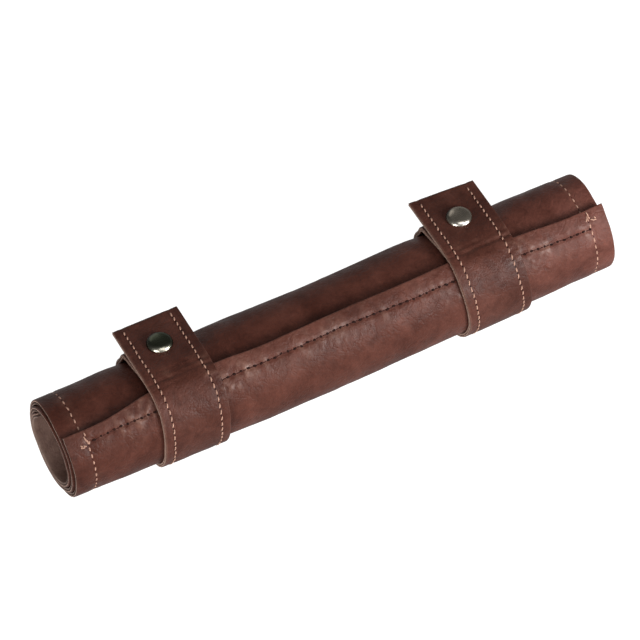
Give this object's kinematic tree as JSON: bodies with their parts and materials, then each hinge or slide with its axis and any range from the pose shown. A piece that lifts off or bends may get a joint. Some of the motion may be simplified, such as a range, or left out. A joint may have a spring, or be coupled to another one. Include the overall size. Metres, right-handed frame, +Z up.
{
  "type": "roll-up pencil case",
  "caption": "Brown leather roll-up pencil wrap, shown rolled, closed by two wide two-ply straps with domed metal snap buttons.",
  "frame": {"origin": "middle of the bounding box's underside, with the roll resting on its two straps", "axes": "+X along the roll towards the end whose inner turns are set back, +Y to the back where the strap tips point, +Z up"},
  "size_m": [0.2454, 0.0529, 0.0463],
  "materials": {
    "cover_leather": "semi-gloss mottled reddish brown, fine grain",
    "strap_leather": "semi-gloss, two plies with stitched edges",
    "pocket_leather": "matt, thinner",
    "snap_metal": "satin gunmetal to antique silver"
  },
  "bodies": {
    "front_4": {"cover_flap": "cover_leather", "strap_left_over_flap": "strap_leather", "strap_right_over_flap": "strap_leather"},
    "front_3": {"cover_front_3": "cover_leather", "strap_left_front_3": "strap_leather", "strap_right_front_3": "strap_leather"},
    "front_2": {"cover_front_2": "cover_leather", "strap_left_front_2": "strap_leather", "strap_right_front_2": "strap_leather"},
    "front_1": {"cover_front_1": "cover_leather", "strap_left_front_1": "strap_leather", "strap_right_front_1": "strap_leather"},
    "root": {"cover_base": "cover_leather", "strap_left_base": "strap_leather", "strap_right_base": "strap_leather"},
    "rear_01": {"cover_rear_01": "cover_leather", "strap_left_rear_1": "strap_leather", "strap_right_rear_1": "strap_leather"},
    "rear_02": {"cover_rear_02": "cover_leather", "strap_left_rear_2": "strap_leather", "strap_right_rear_2": "strap_leather"},
    "rear_03": {"cover_rear_03": "cover_leather"},
    "rear_04": {"cover_rear_04": "cover_leather"},
    "rear_05": {"cover_rear_05": "cover_leather", "pencil_pocket_01": "pocket_leather"},
    "rear_06": {"cover_rear_06": "cover_leather", "pencil_pocket_02": "pocket_leather"},
    "rear_07": {"cover_rear_07": "cover_leather", "pencil_pocket_03": "pocket_leather"},
    "rear_08": {"cover_rear_08": "cover_leather", "pencil_pocket_04": "pocket_leather"},
    "rear_09": {"cover_rear_09": "cover_leather", "pencil_pocket_05": "pocket_leather"},
    "rear_10": {"cover_rear_10": "cover_leather", "pencil_pocket_06": "pocket_leather"},
    "rear_11": {"cover_rear_11": "cover_leather", "pencil_pocket_07": "pocket_leather"},
    "rear_12": {"cover_rear_12": "cover_leather", "pencil_pocket_08": "pocket_leather"},
    "rear_13": {"cover_rear_13": "cover_leather", "pencil_pocket_09": "pocket_leather"},
    "rear_14": {"cover_rear_14": "cover_leather", "pencil_pocket_10": "pocket_leather"},
    "rear_15": {"cover_rear_15": "cover_leather", "pencil_pocket_11": "pocket_leather"},
    "rear_16": {"cover_rear_16": "cover_leather"},
    "rear_17": {"cover_rear_17": "cover_leather"},
    "rear_18": {"cover_rear_18": "cover_leather"},
    "tip_left": {"strap_left_tip": "strap_leather", "snap_cap_left": "snap_metal", "snap_socket_left": "snap_metal"},
    "tab_left": {"strap_left_tab": "strap_leather", "snap_stud_left": "snap_metal", "snap_post_left": "snap_metal"},
    "tip_right": {"strap_right_tip": "strap_leather", "snap_cap_right": "snap_metal", "snap_socket_right": "snap_metal"},
    "tab_right": {"strap_right_tab": "strap_leather", "snap_stud_right": "snap_metal", "snap_post_right": "snap_metal"}
  },
  "joints": [
    {"name": "unroll", "type": "hinge", "parent": "root", "child": "rear_01", "pos_m": [0.00069, 0.00426, 0.0033], "axis": [-1, 0, 0], "range_deg": [0, 43.5]},
    {"name": "unroll_rear_02", "type": "hinge", "parent": "rear_01", "child": "rear_02", "pos_m": [0.00069, 0.01523, 0.01427], "axis": [-1, 0, 0], "range_deg": [0, 43.51]},
    {"name": "unroll_rear_03", "type": "hinge", "parent": "rear_02", "child": "rear_03", "pos_m": [0.00069, 0.01523, 0.02804], "axis": [-1, 0, 0], "range_deg": [0, 43.51]},
    {"name": "unroll_rear_04", "type": "hinge", "parent": "rear_03", "child": "rear_04", "pos_m": [0.00069, 0.00387, 0.0394], "axis": [-1, 0, 0], "range_deg": [0, 43.51]},
    {"name": "unroll_rear_05", "type": "hinge", "parent": "rear_04", "child": "rear_05", "pos_m": [0.00069, -0.00967, 0.0394], "axis": [-1, 0, 0], "range_deg": [0, 43.51]},
    {"name": "unroll_rear_06", "type": "hinge", "parent": "rear_05", "child": "rear_06", "pos_m": [0.00069, -0.01932, 0.02975], "axis": [-1, 0, 0], "range_deg": [0, 43.51]},
    {"name": "unroll_rear_07", "type": "hinge", "parent": "rear_06", "child": "rear_07", "pos_m": [0.00069, -0.01932, 0.01645], "axis": [-1, 0, 0], "range_deg": [0, 43.51]},
    {"name": "unroll_rear_08", "type": "hinge", "parent": "rear_07", "child": "rear_08", "pos_m": [0.00069, -0.01017, 0.0073], "axis": [-1, 0, 0], "range_deg": [0, 43.51]},
    {"name": "unroll_rear_09", "type": "hinge", "parent": "rear_08", "child": "rear_09", "pos_m": [0.00069, 0.00243, 0.0073], "axis": [-1, 0, 0], "range_deg": [0, 43.51]},
    {"name": "unroll_rear_10", "type": "hinge", "parent": "rear_09", "child": "rear_10", "pos_m": [0.00069, 0.01108, 0.01596], "axis": [-1, 0, 0], "range_deg": [0, 43.51]},
    {"name": "unroll_rear_11", "type": "hinge", "parent": "rear_10", "child": "rear_11", "pos_m": [0.00069, 0.01108, 0.02784], "axis": [-1, 0, 0], "range_deg": [0, 43.51]},
    {"name": "unroll_rear_12", "type": "hinge", "parent": "rear_11", "child": "rear_12", "pos_m": [0.00069, 0.00292, 0.036], "axis": [-1, 0, 0], "range_deg": [0, 43.51]},
    {"name": "unroll_rear_13", "type": "hinge", "parent": "rear_12", "child": "rear_13", "pos_m": [0.00069, -0.00826, 0.036], "axis": [-1, 0, 0], "range_deg": [0, 43.51]},
    {"name": "unroll_rear_14", "type": "hinge", "parent": "rear_13", "child": "rear_14", "pos_m": [0.00069, -0.01592, 0.02834], "axis": [-1, 0, 0], "range_deg": [0, 43.51]},
    {"name": "unroll_rear_15", "type": "hinge", "parent": "rear_14", "child": "rear_15", "pos_m": [0.00069, -0.01592, 0.01786], "axis": [-1, 0, 0], "range_deg": [0, 43.51]},
    {"name": "unroll_rear_16", "type": "hinge", "parent": "rear_15", "child": "rear_16", "pos_m": [0.00069, -0.00876, 0.0107], "axis": [-1, 0, 0], "range_deg": [0, 43.51]},
    {"name": "unroll_rear_17", "type": "hinge", "parent": "rear_16", "child": "rear_17", "pos_m": [0.00069, 0.00102, 0.0107], "axis": [-1, 0, 0], "range_deg": [0, 43.51]},
    {"name": "unroll_rear_18", "type": "hinge", "parent": "rear_17", "child": "rear_18", "pos_m": [0.00069, 0.00768, 0.01736], "axis": [-1, 0, 0], "range_deg": [0, 43.51]},
    {"name": "unroll_front_1", "type": "hinge", "parent": "root", "child": "front_1", "pos_m": [0.00069, -0.01172, 0.0033], "axis": [1, 0, 0], "range_deg": [0, 36.01]},
    {"name": "unroll_front_2", "type": "hinge", "parent": "front_1", "child": "front_2", "pos_m": [0.00069, -0.02317, 0.01475], "axis": [1, 0, 0], "range_deg": [0, 36.01]},
    {"name": "unroll_front_3", "type": "hinge", "parent": "front_2", "child": "front_3", "pos_m": [0.00069, -0.02317, 0.03117], "axis": [1, 0, 0], "range_deg": [0, 36.01]},
    {"name": "unroll_front_4", "type": "hinge", "parent": "front_3", "child": "front_4", "pos_m": [0.00069, -0.01134, 0.043], "axis": [1, 0, 0], "range_deg": [0, 36.01]},
    {"name": "unfold_tab_left", "type": "hinge", "parent": "rear_02", "child": "tab_left", "pos_m": [-0.06801, 0.01753, 0.0354], "axis": [-1, 0, 0], "range_deg": [0, 76.01]},
    {"name": "lift_tip_left", "type": "hinge", "parent": "front_4", "child": "tip_left", "pos_m": [-0.06801, -0.00327, 0.0453], "axis": [1, 0, 0], "range_deg": [0, 45]},
    {"name": "unfold_tab_right", "type": "hinge", "parent": "rear_02", "child": "tab_right", "pos_m": [0.06859, 0.01753, 0.0354], "axis": [-1, 0, 0], "range_deg": [0, 76.01]},
    {"name": "lift_tip_right", "type": "hinge", "parent": "front_4", "child": "tip_right", "pos_m": [0.06859, -0.00327, 0.0453], "axis": [1, 0, 0], "range_deg": [0, 45]}
  ],
  "couplings": [
    {"joint": "unroll_rear_02", "follows": "unroll", "ratio": 1},
    {"joint": "unroll_rear_03", "follows": "unroll", "ratio": 1},
    {"joint": "unroll_rear_04", "follows": "unroll", "ratio": 1},
    {"joint": "unroll_rear_05", "follows": "unroll", "ratio": 1},
    {"joint": "unroll_rear_06", "follows": "unroll", "ratio": 1},
    {"joint": "unroll_rear_07", "follows": "unroll", "ratio": 1},
    {"joint": "unroll_rear_08", "follows": "unroll", "ratio": 1},
    {"joint": "unroll_rear_09", "follows": "unroll", "ratio": 1},
    {"joint": "unroll_rear_10", "follows": "unroll", "ratio": 1},
    {"joint": "unroll_rear_11", "follows": "unroll", "ratio": 1},
    {"joint": "unroll_rear_12", "follows": "unroll", "ratio": 1},
    {"joint": "unroll_rear_13", "follows": "unroll", "ratio": 1},
    {"joint": "unroll_rear_14", "follows": "unroll", "ratio": 1},
    {"joint": "unroll_rear_15", "follows": "unroll", "ratio": 1},
    {"joint": "unroll_rear_16", "follows": "unroll", "ratio": 1},
    {"joint": "unroll_rear_17", "follows": "unroll", "ratio": 1},
    {"joint": "unroll_rear_18", "follows": "unroll", "ratio": 1},
    {"joint": "unroll_front_1", "follows": "unroll", "ratio": 0.82759},
    {"joint": "unroll_front_2", "follows": "unroll", "ratio": 0.82759},
    {"joint": "unroll_front_3", "follows": "unroll", "ratio": 0.82759},
    {"joint": "unroll_front_4", "follows": "unroll", "ratio": 0.82759},
    {"joint": "unfold_tab_left", "follows": "unroll", "ratio": 1.7471},
    {"joint": "unfold_tab_right", "follows": "unroll", "ratio": 1.7471}
  ]
}
